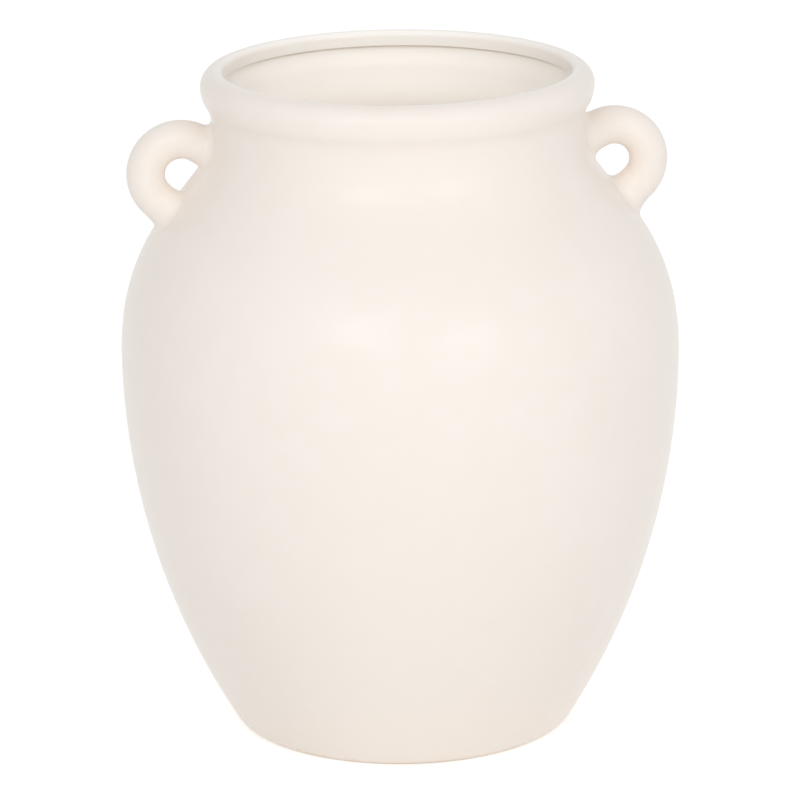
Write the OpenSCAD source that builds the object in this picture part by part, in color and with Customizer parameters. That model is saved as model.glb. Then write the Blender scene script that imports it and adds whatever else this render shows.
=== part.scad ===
// Handled vase: a hollow stoneware jar with a rolled rim and two small loop handles.
// The collar and the handles are separate pieces of clay, bedded on the body in clay slip.
// Origin at the centre of the standing ring, +Z up, handles along X, sizes in millimetres.

/* [Body] */
// Height from the table to the top of the rim
vase_height = 280; // [279:1:300]
// Diameter at the belly, the widest ring
belly_d = 233; // [226:1:235]
// Height of the widest ring above the table
belly_height = 160.5; // [156:0.5:161]
// Radius of the arc just above the belly
upper_belly_r = 114; // [100:1:122]
// Degrees that the arc above the belly turns
upper_belly_turn = 9; // [5:1:12]
// Radius of the rounded shoulder
shoulder_r = 85.5; // [75:0.5:88]
// Lean of the straight slope above the shoulder, in degrees from upright
shoulder_lean = 37.5; // [36:0.5:42]
// Outer diameter of the neck
neck_d = 154.2; // [153.8:0.1:155]
// Radius of the hollow curve from the slope up to the neck
neck_curve_r = 36; // [25:0.5:37]
// Thickness of the wall
wall = 4.5; // [3.5:0.1:5]

/* [Foot] */
// Diameter of the flat that stands on the table
foot_d = 134.6; // [125:0.2:142]
// Radius of the rounded corner between the flat and the wall
foot_corner_r = 6; // [3:0.5:9]
// Width of the standing ring
foot_ring_width = 9; // [6:0.5:14]
// Depth of the hollow inside the standing ring
foot_recess = 3; // [1.5:0.5:4]
// Thickness of the floor
floor_thickness = 6; // [4:0.5:9]
// Radius of the corner between the floor and the inside of the wall
floor_corner_r = 16; // [8:1:30]

/* [Rim] */
// Outer diameter of the rolled rim
rim_d = 162.5; // [161.5:0.1:164]
// Diameter of the rim's crest, its highest ring
crest_d = 148.3; // [146.5:0.1:149.4]
// Inner diameter of the rim
mouth_d = 143.6; // [142:0.1:144.4]
// Height of the crest above the rim's widest ring
roll_rise = 7; // [6:0.1:8]
// Depth of the roll below its widest ring
roll_drop = 10.5; // [10:0.1:11]
// Height over which the crest rounds down into the mouth
lip_round = 2.5; // [1.5:0.1:4]
// Depth of the lip's lower edge below the crest
lip_depth = 6.6; // [5:0.1:8]
// Angle below the widest ring at which the roll starts to flare into the neck
roll_flare_angle = 44; // [43:1:50]

/* [Handles] */
// Thickness of the clay bar
handle_thickness = 16; // [13:0.5:17]
// Distance from the vase's axis to the centre of the bend
bend_reach = 90.1; // [88:0.1:92]
// Height of the bend's centre above the table
bend_height = 237.9; // [236:0.1:239]
// Radius of the bend's centreline
bend_r = 14.5; // [13.5:0.1:15.5]
// Slope at which the upper arm runs down to the neck, in degrees
upper_arm_slope = 25; // [15:1:30]
// Slope at which the lower arm runs down to the shoulder, in degrees
lower_arm_slope = 44; // [40:0.5:50]
// Radius that an arm gains on each millimetre of its way to the wall
arm_flare = 0.16; // [0.1:0.01:0.2]

/* [Slip joints] */
// Thickness of the slip between two pieces
slip_thickness = 0.6; // [0.4:0.1:1]
// Width of the slip pressed out around the foot of a handle's arm
slip_bead_width = 2.2; // [1:0.1:2.5]
// Height of that slip above the wall
slip_bead_height = 1.6; // [1.2:0.1:2]

/* [Hidden] */
$fn = 96;

// Glazed clay and the slip under the same glaze
glaze_color = [0.95, 0.91, 0.86];
slip_color = [0.93, 0.88, 0.82];

// Largest turn of one straight stretch of a rounded outline, in degrees
arc_step = 3;
roll_arc_step = 6;

function on_circle(center, radius, angle) = center + radius * [cos(angle), sin(angle)];

function on_oval(center, half_width, half_height, angle) =
  center + [half_width * cos(angle), half_height * sin(angle)];

// Points along an arc, without its first one, which the stretch before it already holds
function arc(center, radius, from, to) =
  let (steps = ceil(abs(to - from) / arc_step))
  [for (i = [1:steps]) on_circle(center, radius, from + (to - from) * i / steps)];

// The same for an arc that is squeezed into an oval
function oval_arc(center, half_width, half_height, from, to) =
  let (steps = ceil(abs(to - from) / roll_arc_step))
  [for (i = [1:steps]) on_oval(center, half_width, half_height, from + (to - from) * i / steps)];

function reversed(points) = [for (i = [len(points) - 1:-1:0]) points[i]];

belly_r = belly_d / 2;
neck_r = neck_d / 2;
foot_r = foot_d / 2;
crest_r = crest_d / 2;
mouth_r = mouth_d / 2;

// The lower wall is one arc, tangent to the foot's corner and upright at the belly
lower_rise = belly_height - foot_corner_r;
lower_spread = belly_r - foot_r - foot_corner_r;
lower_lean = 2 * atan2(lower_spread, lower_rise);
lower_r = foot_corner_r + lower_rise / sin(lower_lean);
lower_center = [belly_r - lower_r, belly_height];
foot_center = [foot_r, foot_corner_r];

// The upper wall is a belly arc, a shoulder arc, a straight slope and a hollow neck arc
belly_center = [belly_r - upper_belly_r, belly_height];
shoulder_center = on_circle(belly_center, upper_belly_r - shoulder_r, upper_belly_turn);
shoulder_end = on_circle(shoulder_center, shoulder_r, shoulder_lean);
neck_curve_width = neck_curve_r * (1 - cos(shoulder_lean));
slope_length = (shoulder_end.x - neck_r - neck_curve_width) / sin(shoulder_lean);
slope_end = shoulder_end + slope_length * [-sin(shoulder_lean), cos(shoulder_lean)];
neck_center = on_circle(slope_end, neck_curve_r, shoulder_lean);
neck_height = neck_center.y;

// The upper wall's outline from the belly to the neck, moved outwards by a distance
function upper_wall(out) = concat(
  arc(belly_center, upper_belly_r + out, 0, upper_belly_turn),
  arc(shoulder_center, shoulder_r + out, upper_belly_turn, shoulder_lean),
  [on_circle(neck_center, neck_curve_r - out, 180 + shoulder_lean)],
  arc(neck_center, neck_curve_r - out, 180 + shoulder_lean, 180)
);

// The inside of the lower wall runs into the floor in a rounded corner
floor_height = foot_recess + floor_thickness;
inner_lower_r = lower_r - wall;
floor_corner_rise = belly_height - floor_height - floor_corner_r;
floor_corner_lean = asin(floor_corner_rise / (inner_lower_r - floor_corner_r));
floor_center = on_circle(lower_center, inner_lower_r - floor_corner_r, -floor_corner_lean);

// The standing ring's inner edge slopes up to the hollow underside
ring_inner_r = foot_r - foot_ring_width;
recess_r = ring_inner_r - foot_recess;

// The collar's seat: the neck's top edge, a layer of slip, then the underside of the roll
seat_height = vase_height - lip_depth;
neck_top = seat_height - slip_thickness;
skirt_r = neck_r + slip_thickness;

// Outside, the roll is two quarters of ovals, and an arc flares its underside into the neck
roll_half_width = rim_d / 2 - crest_r;
roll_center = [crest_r, vase_height - roll_rise];
flare_start = on_oval(roll_center, roll_half_width, roll_drop, -roll_flare_angle);
flare_normal_angle = -atan2(
  sin(roll_flare_angle) / roll_drop,
  cos(roll_flare_angle) / roll_half_width
);
flare_r = (flare_start.x - neck_r) / (1 - cos(flare_normal_angle));
flare_center = on_circle(flare_start, flare_r, flare_normal_angle);
flare_cut_angle = acos((slip_thickness - flare_r) / flare_r);
flare_cut = on_circle(flare_center, flare_r, flare_cut_angle);

// Inside, the crest rounds down to the lip's upright face in one more quarter
lip_center = [crest_r, vase_height - lip_round];

// The bend runs from the lower arm's end round to the upper arm's
handle_r = handle_thickness / 2;
bend_start_angle = lower_arm_slope - 90;
bend_end_angle = 90 + upper_arm_slope;

// Each arm is long enough to reach well into the wall, starts a little way inside the bend,
// and stands a hair proud of the bend where it leaves it
arm_length_share = 1.25;
arm_length = arm_length_share * handle_thickness;
arm_overlap = 1.5;
arm_step = 0.02;

// Everything inside the upper wall's outline, moved outwards by a distance
module upper_jar(out) {
  rotate_extrude()
    polygon(concat(
      [[0, belly_height], [belly_r + out, belly_height]],
      upper_wall(out),
      [[neck_r + out, seat_height], [0, seat_height]]
    ));
}

// Puts what follows at the bend's centre, with local X pointing at one place on the bend
module at_bend(angle) {
  translate([bend_reach, 0, bend_height])
    rotate([90, 0, 0])
      rotate([0, 0, angle])
        children();
}

// One arm, thicker by a margin, from its end of the bend into the wall.
// The turn of 90 or -90 degrees sends it down from the bend's start or on from its end.
module arm(angle, turn, margin) {
  end_radius = handle_r + arm_step + margin;
  at_bend(angle)
    translate([bend_r, 0, 0])
      rotate([turn, 0, 0])
        translate([0, 0, -arm_overlap])
          cylinder(
            r1 = end_radius - arm_flare * arm_overlap,
            r2 = end_radius + arm_flare * arm_length,
            h = arm_overlap + arm_length
          );
}

module upper_arm(margin) {
  arm(bend_end_angle, -90, margin);
}

module lower_arm(margin) {
  arm(bend_start_angle, 90, margin);
}

// The bent bar of a right-hand handle, cut to bed on the wall
module handle() {
  color(glaze_color)
    difference() {
      union() {
        upper_arm(0);
        at_bend(bend_start_angle)
          rotate_extrude(angle = bend_end_angle - bend_start_angle)
            translate([bend_r, 0])
              circle(r = handle_r);
        lower_arm(0);
      }
      upper_jar(slip_thickness);
    }
}

// Slip under an arm of a right-hand handle and pressed out in a bead around it,
// up against the slip of the rim where it reaches that high.
// The child is the arm, thicker by the bead's width on every side.
module slip_joint() {
  color(slip_color)
    difference() {
      intersection() {
        children();
        difference() {
          upper_jar(slip_bead_height);
          upper_jar(0);
        }
      }
      handle();
      rim_slip_joint();
    }
}

// The hollow jar with its floor and standing ring
module body() {
  color(glaze_color)
    rotate_extrude()
      polygon(concat(
        [[0, foot_recess], [recess_r, foot_recess], [ring_inner_r, 0], [foot_r, 0]],
        arc(foot_center, foot_corner_r, -90, -lower_lean),
        arc(lower_center, lower_r, -lower_lean, 0),
        upper_wall(0),
        [[neck_r, neck_top], [neck_r - wall, neck_top]],
        reversed(upper_wall(-wall)),
        reversed(arc(lower_center, inner_lower_r, -floor_corner_lean, 0)),
        reversed(arc(floor_center, floor_corner_r, -90, -floor_corner_lean)),
        [[floor_center.x, floor_height], [0, floor_height]]
      ));
}

// The rolled collar that caps the neck, with a lip that overhangs inside the mouth
module rim() {
  color(glaze_color)
    rotate_extrude()
      polygon(concat(
        [[mouth_r, seat_height], [mouth_r, lip_center.y]],
        oval_arc(lip_center, crest_r - mouth_r, lip_round, 180, 90),
        oval_arc(roll_center, roll_half_width, roll_rise, 90, 0),
        oval_arc(roll_center, roll_half_width, roll_drop, 0, -roll_flare_angle),
        arc(flare_center, flare_r, 180 + flare_normal_angle, flare_cut_angle),
        [[skirt_r, seat_height]]
      ));
}

// The ring of slip between the neck and the collar
module rim_slip_joint() {
  color(slip_color)
    rotate_extrude()
      polygon([
        [neck_r - wall, neck_top],
        [neck_r - wall, seat_height],
        [skirt_r, seat_height],
        [skirt_r, flare_cut.y],
        [neck_r, flare_center.y],
        [neck_r, neck_top],
      ]);
}

module right_handle() {
  handle();
}

module right_upper_slip_joint() {
  slip_joint() upper_arm(slip_bead_width);
}

module right_lower_slip_joint() {
  slip_joint() lower_arm(slip_bead_width);
}

module left_handle() {
  mirror([1, 0, 0]) right_handle();
}

module left_upper_slip_joint() {
  mirror([1, 0, 0]) right_upper_slip_joint();
}

module left_lower_slip_joint() {
  mirror([1, 0, 0]) right_lower_slip_joint();
}

body();
rim();
rim_slip_joint();
left_handle();
left_upper_slip_joint();
left_lower_slip_joint();
right_handle();
right_upper_slip_joint();
right_lower_slip_joint();
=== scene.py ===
import math

import bmesh
import bpy
from mathutils import Matrix, Quaternion, Vector
from mathutils.bvhtree import BVHTree


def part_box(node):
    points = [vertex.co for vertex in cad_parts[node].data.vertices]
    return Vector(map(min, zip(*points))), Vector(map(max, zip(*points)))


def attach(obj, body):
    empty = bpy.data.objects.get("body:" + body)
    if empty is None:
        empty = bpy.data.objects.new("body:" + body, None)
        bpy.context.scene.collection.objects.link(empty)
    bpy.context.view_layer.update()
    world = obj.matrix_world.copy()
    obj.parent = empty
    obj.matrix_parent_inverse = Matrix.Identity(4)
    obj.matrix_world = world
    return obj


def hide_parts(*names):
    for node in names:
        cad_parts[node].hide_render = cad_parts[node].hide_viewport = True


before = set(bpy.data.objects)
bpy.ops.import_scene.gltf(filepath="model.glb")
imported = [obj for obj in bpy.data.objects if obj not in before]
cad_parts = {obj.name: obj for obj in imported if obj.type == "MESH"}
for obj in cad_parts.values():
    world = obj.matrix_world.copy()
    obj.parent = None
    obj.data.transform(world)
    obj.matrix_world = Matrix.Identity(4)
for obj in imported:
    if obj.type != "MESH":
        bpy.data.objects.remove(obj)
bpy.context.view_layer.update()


# The body: the hollow jar in one, with its floor, standing ring, belly, shoulder and neck.
# It is cast in pale stoneware and fired under a satin cream glaze, which is
# wiped off the standing ring so that the jar doesn't stick to the kiln shelf.
# Inside, its colour is painted paler and cooler: painted light for the shaded inside of the mouth.
body_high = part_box("body")[1]
belly_radius = body_high.x
belly_height = 0.1605
belly_arc_radius = 0.114
belly_arc_turn = math.radians(9)
shoulder_arc_radius = 0.0855
slope_lean = math.radians(37.5)
neck_radius = 0.0771
neck_arc_radius = 0.036
neck_top = body_high.z
wall = 0.0045
neck_trim = 0.0012
neck_trim_height = 0.009
neck_trim_steps = 8
foot_radius = 0.0673
foot_corner = 0.006
ring_inner_radius = 0.0583
ring_slope = math.radians(45)
ring_edge = 0.0015
recess_depth = 0.003
recess_corner = 0.0025
floor_height = 0.009
floor_corner = 0.016
floor_facing = 0.9
turning_steps = 256
sharp_edge = math.radians(50)


def start_outline(radius, height):
    """Starts a half section beside the vase's axis. Gives the outline and its loose end."""
    outline = bmesh.new()
    return outline, outline.verts.new((radius, 0, height))


def draw_line(outline, tip, radius, height):
    """Draws the outline straight on to a new place."""
    tip = bmesh.ops.extrude_vert_indiv(outline, verts=[tip])["verts"][0]
    tip.co = (radius, 0, height)
    return tip


def draw_arc(outline, tip, centre, turn, step=math.radians(1.5)):
    """Draws the outline on around a centre. A positive turn goes from outwards to upwards."""
    turned = bmesh.ops.spin(
        outline,
        geom=[tip],
        cent=(centre.x, 0, centre.y),
        axis=(0, -1, 0),
        angle=turn,
        steps=max(2, round(abs(turn) / step)),
    )
    return next(g for g in turned["geom_last"] if isinstance(g, bmesh.types.BMVert))


def turn_on_wheel(outline):
    """Turns a half section once around the vase's axis into a closed solid of revolution."""
    bmesh.ops.spin(
        outline,
        geom=outline.verts[:] + outline.edges[:],
        cent=(0, 0, 0),
        axis=(0, 0, 1),
        angle=2 * math.pi,
        steps=turning_steps,
        use_merge=True,
    )
    bmesh.ops.remove_doubles(outline, verts=outline.verts, dist=1e-6)
    bmesh.ops.recalc_face_normals(outline, faces=outline.faces)


def fired_piece(name, shape, glaze, node):
    """Makes a finished piece of clay from its shape, in place of a CAD node."""
    mesh = bpy.data.meshes.new(name)
    shape.to_mesh(mesh)
    shape.free()
    mesh.shade_smooth()
    mesh.set_sharp_from_angle(angle=sharp_edge)
    mesh.materials.append(glaze)
    piece = bpy.data.objects.new(name, mesh)
    bpy.context.scene.collection.objects.link(piece)
    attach(piece, "root")
    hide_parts(node)
    return piece


def on_circle(centre, radius, angle):
    """The place on a circle of the half section, at an angle from outwards to upwards."""
    return centre + radius * Vector((math.cos(angle), math.sin(angle)))


# The lower wall is one arc, from the foot's rounded corner up to the belly, where it is upright
lower_rise = belly_height - foot_corner
lower_lean = 2 * math.atan2(belly_radius - foot_radius - foot_corner, lower_rise)
lower_radius = foot_corner + lower_rise / math.sin(lower_lean)
lower_centre = Vector((belly_radius - lower_radius, belly_height))

belly_centre = Vector((belly_radius - belly_arc_radius, belly_height))
shoulder_centre = on_circle(belly_centre, belly_arc_radius - shoulder_arc_radius, belly_arc_turn)
shoulder_end = on_circle(shoulder_centre, shoulder_arc_radius, slope_lean)
slope_reach = shoulder_end.x - neck_radius - neck_arc_radius * (1 - math.cos(slope_lean))
slope_direction = Vector((-math.sin(slope_lean), math.cos(slope_lean)))
slope_end = shoulder_end + slope_direction * slope_reach / math.sin(slope_lean)
neck_centre = on_circle(slope_end, neck_arc_radius, slope_lean)

# Inside, the wall is trimmed a little under the collar, follows at its thickness and runs into
# the floor in a rounded corner
wall_in = -wall * Vector((math.cos(slope_lean), math.sin(slope_lean)))
floor_arc_drop = belly_height - floor_height - floor_corner
floor_arc_lean = math.asin(floor_arc_drop / (lower_radius - wall - floor_corner))
floor_centre = on_circle(lower_centre, lower_radius - wall - floor_corner, -floor_arc_lean)

# The underside: a shallow hollow, then the standing ring with its sponged inner edge
ring_tangent = math.tan(ring_slope / 2)
recess_radius = ring_inner_radius - recess_depth
recess_centre = Vector((recess_radius - recess_corner * ring_tangent, recess_depth - recess_corner))
ring_edge_centre = Vector((ring_inner_radius + ring_edge * ring_tangent, ring_edge))
ring_edge_start = on_circle(ring_edge_centre, ring_edge, -math.pi / 2 - ring_slope)

jar, tip = start_outline(0, recess_depth)
for share in (0.25, 0.5, 0.75, 1):
    tip = draw_line(jar, tip, share * recess_centre.x, recess_depth)
tip = draw_arc(jar, tip, recess_centre, -ring_slope, math.radians(6))
tip = draw_line(jar, tip, *ring_edge_start)
tip = draw_arc(jar, tip, ring_edge_centre, ring_slope, math.radians(6))
tip = draw_line(jar, tip, foot_radius, 0)
foot_corner_turn = math.pi / 2 - lower_lean
tip = draw_arc(jar, tip, Vector((foot_radius, foot_corner)), foot_corner_turn, math.radians(5))
tip = draw_arc(jar, tip, lower_centre, lower_lean, math.radians(1))
tip = draw_arc(jar, tip, belly_centre, belly_arc_turn)
tip = draw_arc(jar, tip, shoulder_centre, slope_lean - belly_arc_turn)
for share in (0.2, 0.4, 0.6, 0.8, 1):
    tip = draw_line(jar, tip, *shoulder_end.lerp(slope_end, share))
tip = draw_arc(jar, tip, neck_centre, -slope_lean)
tip = draw_line(jar, tip, neck_radius, neck_top)
for step in range(neck_trim_steps + 1):
    share = step / neck_trim_steps
    trim = neck_trim * (1 + math.cos(math.pi * share)) / 2
    tip = draw_line(jar, tip, neck_radius - wall + trim, neck_top - share * neck_trim_height)
tip = draw_line(jar, tip, neck_radius - wall, neck_centre.y)
tip = draw_arc(jar, tip, neck_centre, slope_lean)
for share in (0.8, 0.6, 0.4, 0.2, 0):
    tip = draw_line(jar, tip, *(shoulder_end.lerp(slope_end, share) + wall_in))
tip = draw_arc(jar, tip, shoulder_centre, belly_arc_turn - slope_lean)
tip = draw_arc(jar, tip, belly_centre, -belly_arc_turn)
tip = draw_arc(jar, tip, lower_centre, -floor_arc_lean, math.radians(1))
tip = draw_arc(jar, tip, floor_centre, floor_arc_lean - math.pi / 2, math.radians(4))
for share in (0.75, 0.5, 0.25, 0):
    tip = draw_line(jar, tip, share * floor_centre.x, floor_height)
turn_on_wheel(jar)

# Painted light: what looks at the axis, and the floor, gets the paler, cooler inside colour
for face in jar.faces:
    middle = face.calc_center_median()
    looks_in = face.normal.z > floor_facing or face.normal.xy.dot(middle.xy) < 0
    if looks_in and middle.z > recess_depth:
        face.material_index = 1
jar_surface = BVHTree.FromBMesh(jar)


# Painted light: the inside colour is lifted towards white, more in green and blue. This stands in
# for light in the deep, shaded mouth and cools its warm inter-reflected tone.
painted_inside_light = (0.26, 0.39, 0.365)


def cream_glaze(name, painted_lift=(0, 0, 0), lip=None):
    """A satin cream glaze, lifted towards white by painted light where asked, and the bare clay of
    the wiped foot below.

    On a lip the painted light of the inside fades out between two distances from the vase's axis.
    """
    glaze = bpy.data.materials.new(name)
    glaze.use_nodes = True
    nodes, links = glaze.node_tree.nodes, glaze.node_tree.links
    surface = nodes["Principled BSDF"]
    place = nodes.new("ShaderNodeTexCoord")

    def speckle(scale, detail):
        texture = nodes.new("ShaderNodeTexNoise")
        texture.inputs["Scale"].default_value = scale
        texture.inputs["Detail"].default_value = detail
        links.new(place.outputs["Object"], texture.inputs["Vector"])
        return texture.outputs["Fac"]

    def ramp(source, low, high, low_value, high_value):
        spread = nodes.new("ShaderNodeMapRange")
        spread.inputs["From Min"].default_value = low
        spread.inputs["From Max"].default_value = high
        spread.inputs["To Min"].default_value = low_value
        spread.inputs["To Max"].default_value = high_value
        links.new(source, spread.inputs["Value"])
        return spread.outputs["Result"]

    def blend(factor, first, second):
        mixed = nodes.new("ShaderNodeMix")
        mixed.data_type = "RGBA"
        links.new(factor, mixed.inputs["Factor"])
        for socket, colour in ((mixed.inputs[6], first), (mixed.inputs[7], second)):
            if isinstance(colour, tuple):
                socket.default_value = (*colour, 1)
            else:
                links.new(colour, socket)
        return mixed.outputs[2]

    bare_clay = (0.84, 0.75, 0.64)
    bare_roughness = 0.9
    bare_up_to = 0.0002
    glazed_from = 0.0004
    edge_wander = 0.0016

    drift = ramp(speckle(scale=14, detail=2), low=0.35, high=0.65, low_value=0, high_value=1)
    cloud = ramp(speckle(scale=90, detail=4), low=0.42, high=0.7, low_value=0, high_value=0.5)

    # The lift is painted light: a share of white mixed into each colour channel
    def glaze_colour(painted_lift):
        def tinted(*cream):
            return tuple(part + (1 - part) * white for part, white in zip(cream, painted_lift))

        thick_glaze = tinted(0.934, 0.867, 0.803)
        thin_glaze = tinted(0.926, 0.856, 0.79)
        pooled_glaze = tinted(0.94, 0.876, 0.816)
        return blend(cloud, blend(drift, thick_glaze, thin_glaze), pooled_glaze)

    colour = glaze_colour(painted_lift)
    if lip:
        # Painted light on the lip: towards the mouth the colour turns to the paler inside colour
        across = nodes.new("ShaderNodeVectorMath")
        across.operation = "MULTIPLY"
        across.inputs[1].default_value = (1, 1, 0)
        links.new(place.outputs["Object"], across.inputs[0])
        from_axis = nodes.new("ShaderNodeVectorMath")
        from_axis.operation = "LENGTH"
        links.new(across.outputs["Vector"], from_axis.inputs[0])
        lip_light_share = ramp(from_axis.outputs["Value"], *lip, low_value=1, high_value=0)
        colour = blend(lip_light_share, colour, glaze_colour(painted_inside_light))

    height = nodes.new("ShaderNodeSeparateXYZ")
    links.new(place.outputs["Object"], height.inputs[0])
    wander = nodes.new("ShaderNodeMath")
    wander.operation = "MULTIPLY_ADD"
    links.new(speckle(scale=60, detail=3), wander.inputs[0])
    wander.inputs[1].default_value = -edge_wander
    links.new(height.outputs["Z"], wander.inputs[2])
    bare = ramp(wander.outputs[0], bare_up_to, glazed_from, low_value=1, high_value=0)
    links.new(blend(bare, colour, bare_clay), surface.inputs["Base Color"])

    satin = ramp(speckle(scale=220, detail=3), low=0.3, high=0.7, low_value=0.28, high_value=0.33)
    rough = nodes.new("ShaderNodeMix")
    links.new(bare, rough.inputs["Factor"])
    links.new(satin, rough.inputs[2])
    rough.inputs[3].default_value = bare_roughness
    links.new(rough.outputs[0], surface.inputs["Roughness"])
    surface.inputs["Specular IOR Level"].default_value = 0.17

    soft_waves = nodes.new("ShaderNodeBump")
    soft_waves.inputs["Strength"].default_value = 0.5
    soft_waves.inputs["Distance"].default_value = 0.0004
    links.new(speckle(scale=45, detail=1), soft_waves.inputs["Height"])
    fine_grain = nodes.new("ShaderNodeBump")
    fine_grain.inputs["Strength"].default_value = 0.35
    fine_grain.inputs["Distance"].default_value = 0.00004
    links.new(speckle(scale=1400, detail=2), fine_grain.inputs["Height"])
    links.new(soft_waves.outputs["Normal"], fine_grain.inputs["Normal"])
    links.new(fine_grain.outputs["Normal"], surface.inputs["Normal"])
    return glaze


satin_cream = cream_glaze("satin_cream_glaze")
vase_body = fired_piece("vase_body", jar, satin_cream, "body")
# The second slot: the same glaze with the inside's painted light, paler and cooler
vase_body.data.materials.append(cream_glaze("inside_painted_light_glaze", painted_inside_light))


# The rim: a rolled collar of the same clay, luted over the cut edge of the neck.
# Its lip, whose inner face carries the painted light of the inside, leaves a shadow line on the
# inner wall, and outside a finger has been run round below the roll to flare it into the neck.
rim_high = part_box("rim")[1]
crest_radius = 0.07415
mouth_radius = 0.0718
roll_rise = 0.007
roll_drop = 0.0105
lip_round = 0.0025
lip_depth = 0.0066
lip_edge = 0.0005
# The lip's inner face carries the inside's painted light in full up to the first distance, fading
# out by the second
painted_light_full_to = 0.073
painted_light_ends = 0.0765
flare_start_angle = math.radians(44)
slip_thickness = 0.0006

roll_half_width = rim_high.x - crest_radius
roll_centre = Vector((crest_radius, rim_high.z - roll_rise))
lip_centre = Vector((crest_radius, rim_high.z - lip_round))
seat_height = rim_high.z - lip_depth
skirt_radius = neck_radius + slip_thickness
flare_normal = math.atan2(
    math.sin(flare_start_angle) / roll_drop,
    math.cos(flare_start_angle) / roll_half_width,
)
flare_start = roll_centre + Vector((
    roll_half_width * math.cos(flare_start_angle),
    -roll_drop * math.sin(flare_start_angle),
))
flare_radius = (flare_start.x - neck_radius) / (1 - math.cos(flare_normal))
flare_centre = on_circle(flare_start, flare_radius, -flare_normal)
flare_edge_angle = math.acos(1 - slip_thickness / flare_radius)


def draw_oval(outline, tip, centre, turn, stretch):
    """Draws an arc of the outline and stretches it along X and Z into an oval."""
    drawn = set(outline.verts)
    tip = draw_arc(outline, tip, centre, turn, math.radians(4))
    bmesh.ops.scale(
        outline,
        vec=(stretch.x, 1, stretch.y),
        space=Matrix.Translation((-centre.x, 0, -centre.y)),
        verts=[v for v in outline.verts if v not in drawn],
    )
    return tip


# Up the lip's face and over its crest, then down the roll and along the flare to its thin edge
collar, lip = start_outline(mouth_radius, seat_height)
tip = draw_line(collar, lip, mouth_radius, lip_centre.y)
lip_stretch = Vector((1, lip_round / (crest_radius - mouth_radius)))
tip = draw_oval(collar, tip, lip_centre, -math.pi / 2, lip_stretch)
tip = draw_oval(collar, tip, roll_centre, -math.pi / 2, Vector((roll_half_width / roll_rise, 1)))
drop_stretch = Vector((1, roll_drop / roll_half_width))
tip = draw_oval(collar, tip, roll_centre, -flare_start_angle, drop_stretch)
tip = draw_arc(collar, tip, flare_centre, flare_normal - flare_edge_angle, math.radians(1))
tip = draw_line(collar, tip, skirt_radius, seat_height)
collar.edges.new((tip, lip))
turn_on_wheel(collar)
lip_edges = [
    edge
    for edge in collar.edges
    if all(
        abs(v.co.xy.length - mouth_radius) < 1e-6 and abs(v.co.z - seat_height) < 1e-6
        for v in edge.verts
    )
]
bmesh.ops.bevel(
    collar,
    geom=lip_edges,
    offset=lip_edge,
    affect="EDGES",
    segments=4,
    profile=0.5,
    material=-1,
)
collar_surface = BVHTree.FromBMesh(collar)
# The rim's glaze, with painted light on the lip's inner face
lip_glaze_painted_light = cream_glaze("lip_painted_light_glaze", lip=(painted_light_full_to, painted_light_ends))
fired_piece("rolled_rim", collar, lip_glaze_painted_light, "rim")


# The slip under the rim: liquid clay brushed on the neck's edge before the collar goes on.
# It fills the seat all round. Inside the mouth it ends in a small hollow fillet,
# and outside it is wiped off in line with the flare, down to nothing on the neck.
slip_fillet = 0.0003

seat_radius = neck_radius - wall + neck_trim
seat, tip = start_outline(seat_radius, neck_top)
first_tip = tip
tip = draw_arc(
    seat,
    tip,
    Vector((seat_radius - slip_fillet, neck_top)),
    math.pi / 2,
    math.radians(15),
)
tip = draw_line(seat, tip, skirt_radius, seat_height)
tip = draw_line(seat, tip, *on_circle(flare_centre, flare_radius, math.pi - flare_edge_angle))
tip = draw_arc(seat, tip, flare_centre, flare_edge_angle, math.radians(1))
tip = draw_line(seat, tip, neck_radius, neck_top)
seat.edges.new((tip, first_tip))
turn_on_wheel(seat)
seat_surface = BVHTree.FromBMesh(seat)
fired_piece("rim_slip_ring", seat, satin_cream, "rim_slip_joint")


# The handles: two bars of clay, rolled by hand and bent into loops while soft.
# Each arm thickens towards its end, which is cut to the curve of the wall and set in slip.
bar_radius = 0.008
bend_centre = Vector((0.0901, 0, 0.2379))
bend_radius = 0.0145
upper_arm_slope = math.radians(25)
lower_arm_slope = math.radians(44)
arm_flare = 0.16
arm_steps = 8
bend_steps = 56
bar_segments = 96
bend_start = lower_arm_slope - math.pi / 2
bend_end = math.pi / 2 + upper_arm_slope
inwards = Vector((0, -1, 0))


def arm_start(angle):
    """The place where the bend passes an angle, with local Z along the bar and local X outwards."""
    turned = Matrix.Rotation(angle, 4, inwards)
    return Matrix.Translation(bend_centre) @ turned @ Matrix.Translation((bend_radius, 0, 0))


def arm_run(angle, onward):
    """The middle of an arm's first ring, and the direction in which the arm runs to the wall."""
    start = arm_start(angle)
    return start.translation, onward * start.col[2].to_3d()


def meet_wall(corner, middle, along):
    """The way down an arm from one corner of its first ring, and how far the wall is that way."""
    way = (along + arm_flare * (corner - middle).normalized()).normalized()
    return way, jar_surface.ray_cast(corner, way)[3]


def along_arm(corner, reach, along, share):
    """A place on an arm's side, at a share of its reach. The arm widens faster towards the wall."""
    sideways = reach - along * reach.dot(along)
    return corner + share * (reach - sideways) + share**2 * sideways


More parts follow.
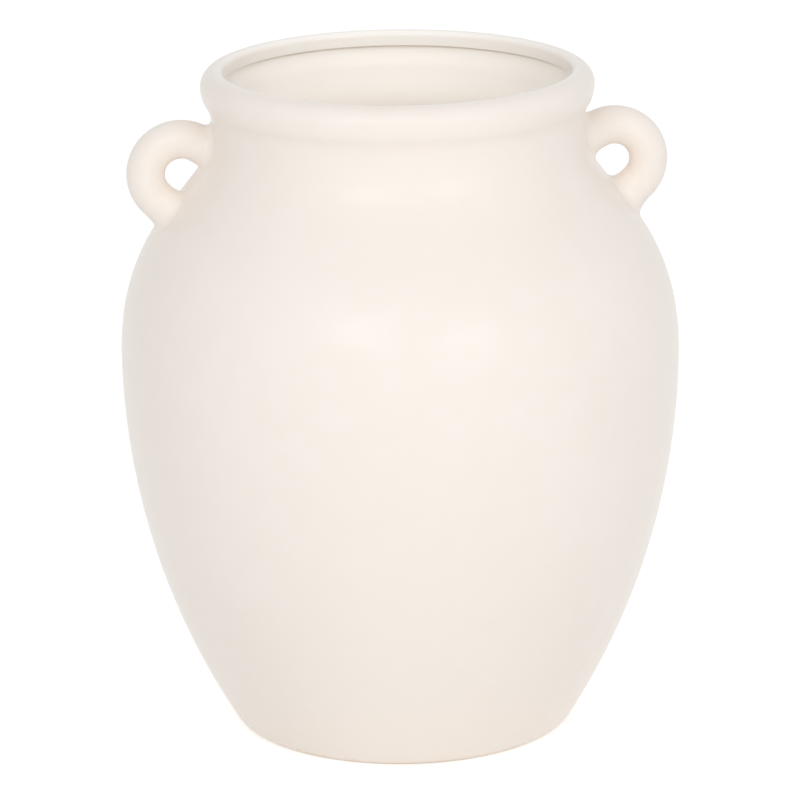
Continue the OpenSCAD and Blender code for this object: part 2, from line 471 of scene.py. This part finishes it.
def run_arm(bar, ring, angle, onward):
    """Runs an arm from one end of the bend to the wall, and closes its end along the wall."""
    middle, along = arm_run(angle, onward)
    ways = [meet_wall(v.co, middle, along) for v in ring]
    starts = [v.co.copy() for v in ring]
    edges = list({e for v in ring for e in v.link_edges if all(w in set(ring) for w in e.verts)})
    order = {v: i for i, v in enumerate(ring)}
    for step in range(1, arm_steps + 1):
        share = step / arm_steps
        drawn = bmesh.ops.extrude_edge_only(bar, edges=edges)["geom"]
        edges = [g for g in drawn if isinstance(g, bmesh.types.BMEdge)]
        new_order = {}
        for v in (g for g in drawn if isinstance(g, bmesh.types.BMVert)):
            before = next(e.other_vert(v) for e in v.link_edges if e.other_vert(v) in order)
            i = order[before]
            way, distance = ways[i]
            v.co = along_arm(starts[i], way * (distance - slip_thickness), along, share)
            new_order[v] = i
        edges = [e for e in edges if all(v in new_order for v in e.verts)]
        order = new_order
    drawn = bmesh.ops.extrude_edge_only(bar, edges=edges)["geom"]
    last = [g for g in drawn if isinstance(g, bmesh.types.BMVert)]
    distance = jar_surface.ray_cast(middle, along)[3] - slip_thickness
    bmesh.ops.pointmerge(bar, verts=last, merge_co=middle + along * distance)


def loop_handle():
    """The bent bar of the right-hand handle."""
    bar = bmesh.new()
    first = bmesh.ops.create_circle(
        bar, segments=bar_segments, radius=bar_radius, matrix=arm_start(bend_start)
    )["verts"]
    bent = bmesh.ops.spin(
        bar,
        geom=first + bar.edges[:],
        cent=bend_centre,
        axis=inwards,
        angle=bend_end - bend_start,
        steps=bend_steps,
    )
    last = [g for g in bent["geom_last"] if isinstance(g, bmesh.types.BMVert)]
    run_arm(bar, first, bend_start, -1)
    run_arm(bar, last, bend_end, 1)
    bmesh.ops.recalc_face_normals(bar, faces=bar.faces)
    return bar


def other_side(shape):
    """Mirrors a right-hand piece to the left."""
    bmesh.ops.scale(shape, vec=(-1, 1, 1), verts=shape.verts)
    bmesh.ops.recalc_face_normals(shape, faces=shape.faces)
    return shape


fired_piece("right_loop_handle", loop_handle(), satin_cream, "right_handle")
left_bar = other_side(loop_handle())
fired_piece("left_loop_handle", left_bar, satin_cream, "left_handle")


# The slip at the handles' roots: liquid clay between each arm's end and the wall.
# What is pressed out is smoothed with a damp brush into a small hollow fillet all round.
fillet_up_arm = 0.0034
fillet_on_wall = 0.003
fillet_steps = 8
fillet_sunk = 0.00003


def way_to_vase(place, way):
    """How far it is from a place to the jar, or to the rim or its slip where they are nearer."""
    hits = [s.ray_cast(place, way)[3] for s in (jar_surface, collar_surface, seat_surface)]
    return min(distance for distance in hits if distance is not None)


def root_fillet(angle, onward):
    """The slip at one root of the right-hand handle."""
    slip = bmesh.new()
    ring = bmesh.ops.create_circle(
        slip, segments=bar_segments, radius=bar_radius, matrix=arm_start(angle)
    )["verts"]
    middle, along = arm_run(angle, onward)
    tops, feet, outers, beds = [], [], [], []
    for v in ring:
        way, distance = meet_wall(v.co, middle, along)
        out = (v.co - middle).normalized()
        beyond = v.co + out * fillet_on_wall
        outer = beyond + way * way_to_vase(beyond, way)
        reach = way * (distance - slip_thickness)
        top_share = 1 - (fillet_up_arm - slip_thickness) / (distance - slip_thickness)
        tops.append(along_arm(v.co, reach, along, top_share))
        beds.append(v.co + reach)
        feet.append(v.co + way * distance)
        outers.append(outer + way * fillet_sunk)
        v.co = tops[-1]

    def next_ring(edges, order, places):
        drawn = bmesh.ops.extrude_edge_only(slip, edges=edges)["geom"]
        new_order = {}
        for v in (g for g in drawn if isinstance(g, bmesh.types.BMVert)):
            before = next(e.other_vert(v) for e in v.link_edges if e.other_vert(v) in order)
            new_order[v] = order[before]
            v.co = places[order[before]]
        edges = [
            g
            for g in drawn
            if isinstance(g, bmesh.types.BMEdge) and all(v in new_order for v in g.verts)
        ]
        return edges, new_order

    first_order = {v: i for i, v in enumerate(ring)}
    first_edges = slip.edges[:]
    edges, order = first_edges, first_order
    for step in range(1, fillet_steps + 1):
        u = step / fillet_steps
        places = [
            (1 - u) ** 2 * top + 2 * u * (1 - u) * foot + u**2 * outer
            for top, foot, outer in zip(tops, feet, outers)
        ]
        edges, order = next_ring(edges, order, places)
    edges = next_ring(edges, order, feet)[0]
    drawn = bmesh.ops.extrude_edge_only(slip, edges=edges)["geom"]
    under = middle + along * jar_surface.ray_cast(middle, along)[3]
    bmesh.ops.pointmerge(
        slip, verts=[g for g in drawn if isinstance(g, bmesh.types.BMVert)], merge_co=under
    )
    edges = next_ring(first_edges, first_order, beds)[0]
    drawn = bmesh.ops.extrude_edge_only(slip, edges=edges)["geom"]
    bmesh.ops.pointmerge(
        slip,
        verts=[g for g in drawn if isinstance(g, bmesh.types.BMVert)],
        merge_co=under - along * slip_thickness,
    )
    bmesh.ops.recalc_face_normals(slip, faces=slip.faces)
    return slip


for root, angle, onward in (("upper", bend_end, 1), ("lower", bend_start, -1)):
    for side in ("right", "left"):
        fillet = root_fillet(angle, onward)
        if side == "left":
            fillet = other_side(fillet)
        fired_piece(
            f"{side}_{root}_slip_fillet",
            fillet,
            satin_cream,
            f"{side}_{root}_slip_joint",
        )


# The studio: a pale sweep of floor, two softboxes beside the camera and an even white room.
# Two small lamps with grids shine into the mouth from left and right, as the inside is deep.
# All lamps are sampled alike, because the small ones would otherwise be missed.
floor_size = 12
sweep = bmesh.new()
bmesh.ops.create_grid(sweep, x_segments=8, y_segments=8, size=floor_size / 2)
floor_mesh = bpy.data.meshes.new("studio_floor")
sweep.to_mesh(floor_mesh)
sweep.free()
studio_floor = bpy.data.objects.new("studio_floor", floor_mesh)
bpy.context.scene.collection.objects.link(studio_floor)

paper = bpy.data.materials.new("white_paper")
paper.use_nodes = True
paper_nodes, paper_links = paper.node_tree.nodes, paper.node_tree.links
paper_surface = paper_nodes["Principled BSDF"]
paper_surface.inputs["Base Color"].default_value = (0.92, 0.92, 0.92, 1)
paper_surface.inputs["Roughness"].default_value = 0.9
paper_surface.inputs["Specular IOR Level"].default_value = 0
paper_surface.inputs["Emission Color"].default_value = (1, 1, 1, 1)
paper_glow = 0.4
paper.cycles.emission_sampling = "NONE"


def seen_directly(nodes, links):
    """1 for what the camera sees, straight or in a reflection, and 0 for light on the object."""
    path = nodes.new("ShaderNodeLightPath")
    total = path.outputs["Is Camera Ray"]
    for kind in ("Is Glossy Ray", "Is Transmission Ray"):
        either = nodes.new("ShaderNodeMath")
        either.operation = "MAXIMUM"
        links.new(total, either.inputs[0])
        links.new(path.outputs[kind], either.inputs[1])
        total = either.outputs[0]
    return total


glow = paper_nodes.new("ShaderNodeMath")
glow.operation = "MULTIPLY"
glow.inputs[1].default_value = paper_glow
paper_links.new(seen_directly(paper_nodes, paper_links), glow.inputs[0])
paper_links.new(glow.outputs[0], paper_surface.inputs["Emission Strength"])
floor_mesh.materials.append(paper)

camera_azimuth = math.radians(-6)
camera_height_angle = math.radians(16.39)
camera_distance = 1.891
camera_roll = math.radians(-0.62)
aim = Vector((0, 0, 0.1369))


def from_vase(azimuth, elevation):
    """The direction from the vase to something beside the camera. Azimuth goes to the right."""
    turn = camera_azimuth + azimuth
    return Vector((
        math.sin(turn) * math.cos(elevation),
        -math.cos(turn) * math.cos(elevation),
        math.sin(elevation),
    ))


room_middle = 0.68
room_swing = 0.07
bright_side = from_vase(math.radians(70), math.radians(20))
room = bpy.data.worlds.new("white_room")
room.use_nodes = True
bpy.context.scene.world = room
room_nodes, room_links = room.node_tree.nodes, room.node_tree.links
walls = room_nodes["Background"]
walls.inputs["Color"].default_value = (1, 1, 1, 1)
direction = room_nodes.new("ShaderNodeTexCoord")
facing = room_nodes.new("ShaderNodeVectorMath")
facing.operation = "DOT_PRODUCT"
facing.inputs[1].default_value = bright_side
room_links.new(direction.outputs["Generated"], facing.inputs[0])
brightness = room_nodes.new("ShaderNodeMath")
brightness.operation = "MULTIPLY_ADD"
brightness.inputs[1].default_value = room_swing
brightness.inputs[2].default_value = room_middle
room_links.new(facing.outputs["Value"], brightness.inputs[0])
seen = room_nodes.new("ShaderNodeMix")
seen.inputs[3].default_value = 1
room_links.new(seen_directly(room_nodes, room_links), seen.inputs["Factor"])
room_links.new(brightness.outputs[0], seen.inputs[2])
room_links.new(seen.outputs[0], walls.inputs["Strength"])

mouth_middle = Vector((0, 0.012, rim_high.z))
for name, target, distance, azimuth, elevation, width, height, spread, power in (
    ("left_softbox", aim, 1.8, -17.5, 27, 0.68, 0.36, 180, 5.45),
    ("right_softbox", aim, 1.8, 30.2, 21.4, 0.54, 0.3, 180, 3.8),
    ("left_mouth_lamp", mouth_middle, 0.6, -44, 34, 0.1, 0.058, 5, 0.0038),
    ("right_mouth_lamp", mouth_middle, 0.6, 42, 34, 0.1, 0.058, 5, 0.0034),
):
    softbox = bpy.data.lights.new(name, "AREA")
    softbox.shape = "ELLIPSE" if target == mouth_middle else "RECTANGLE"
    softbox.size = width
    softbox.size_y = height
    softbox.spread = math.radians(spread)
    softbox.energy = power
    lamp = bpy.data.objects.new(name, softbox)
    away = from_vase(math.radians(azimuth), math.radians(elevation))
    lamp.location = target + distance * away
    lamp.rotation_mode = "QUATERNION"
    lamp.rotation_quaternion = (-away).to_track_quat("-Z", "Y")
    lamp.visible_camera = False
    bpy.context.scene.collection.objects.link(lamp)

photo_view = bpy.data.cameras.new("photo_camera")
photo_view.lens = 202.5
photo_view.sensor_width = 36
photo_view.shift_x = -0.001
camera = bpy.data.objects.new("photo_camera", photo_view)
back = from_vase(0, camera_height_angle)
camera.location = aim + camera_distance * back
camera.rotation_mode = "QUATERNION"
camera.rotation_quaternion = (
    (-back).to_track_quat("-Z", "Y") @ Quaternion((0, 0, 1), camera_roll)
)
bpy.context.scene.collection.objects.link(camera)
bpy.context.scene.camera = camera
bpy.context.scene.view_settings.view_transform = "Standard"
bpy.context.scene.cycles.max_bounces = 16
bpy.context.scene.cycles.diffuse_bounces = 14
bpy.context.scene.cycles.use_light_tree = False

bpy.context.view_layer.update()
